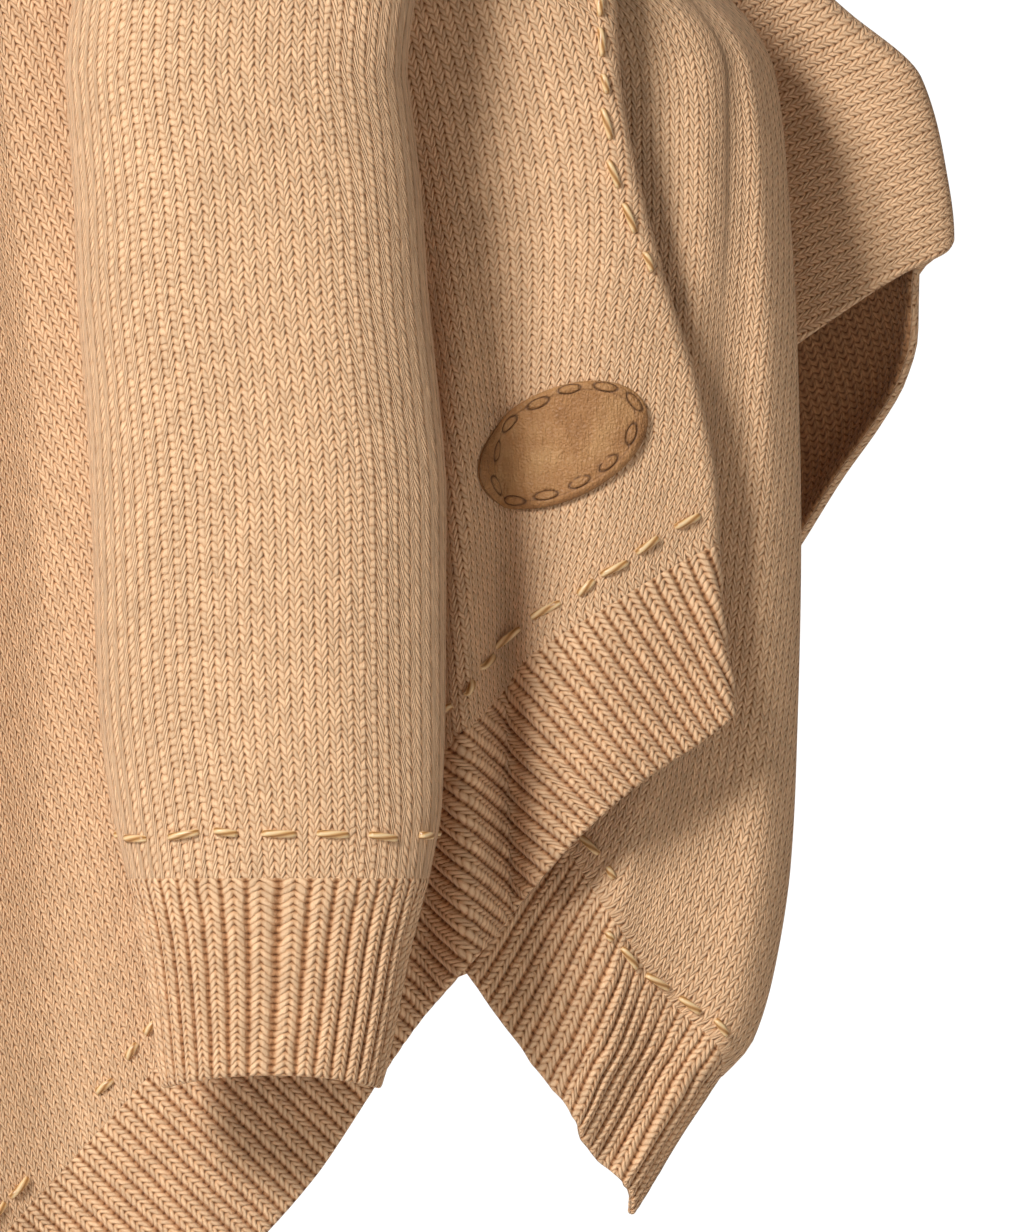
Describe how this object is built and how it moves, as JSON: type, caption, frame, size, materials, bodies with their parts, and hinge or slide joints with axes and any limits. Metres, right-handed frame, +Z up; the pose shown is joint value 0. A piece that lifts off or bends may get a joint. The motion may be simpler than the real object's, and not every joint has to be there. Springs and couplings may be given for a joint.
{
  "type": "knitted poncho with sleeves",
  "caption": "Worn knitted poncho with set-in sleeves, ribbed hems and cuffs, open side slits and an oval leather patch, hollow inside",
  "frame": {"origin": "base of the neck on the centre line, where the wearer's shoulders hold the garment", "axes": "+Z up, the front faces -Y, +X is the wearer's left"},
  "size_m": [0.926, 0.3164, 0.8664],
  "materials": {
    "camel_knit": "soft brushed wool knit, matt, with a short nap",
    "tan_leather": "vegetable-tanned leather, satin"
  },
  "bodies": {
    "root": {"front_panel": "camel_knit", "front_hem_rib": "camel_knit", "back_panel": "camel_knit", "back_hem_rib": "camel_knit", "side_panel_left": "camel_knit", "side_panel_right": "camel_knit", "side_hem_rib_left": "camel_knit", "side_hem_rib_right": "camel_knit", "sleeve_left": "camel_knit", "sleeve_right": "camel_knit", "cuff_left": "camel_knit", "cuff_right": "camel_knit", "neckband": "camel_knit", "label": "tan_leather"}
  },
  "joints": []
}
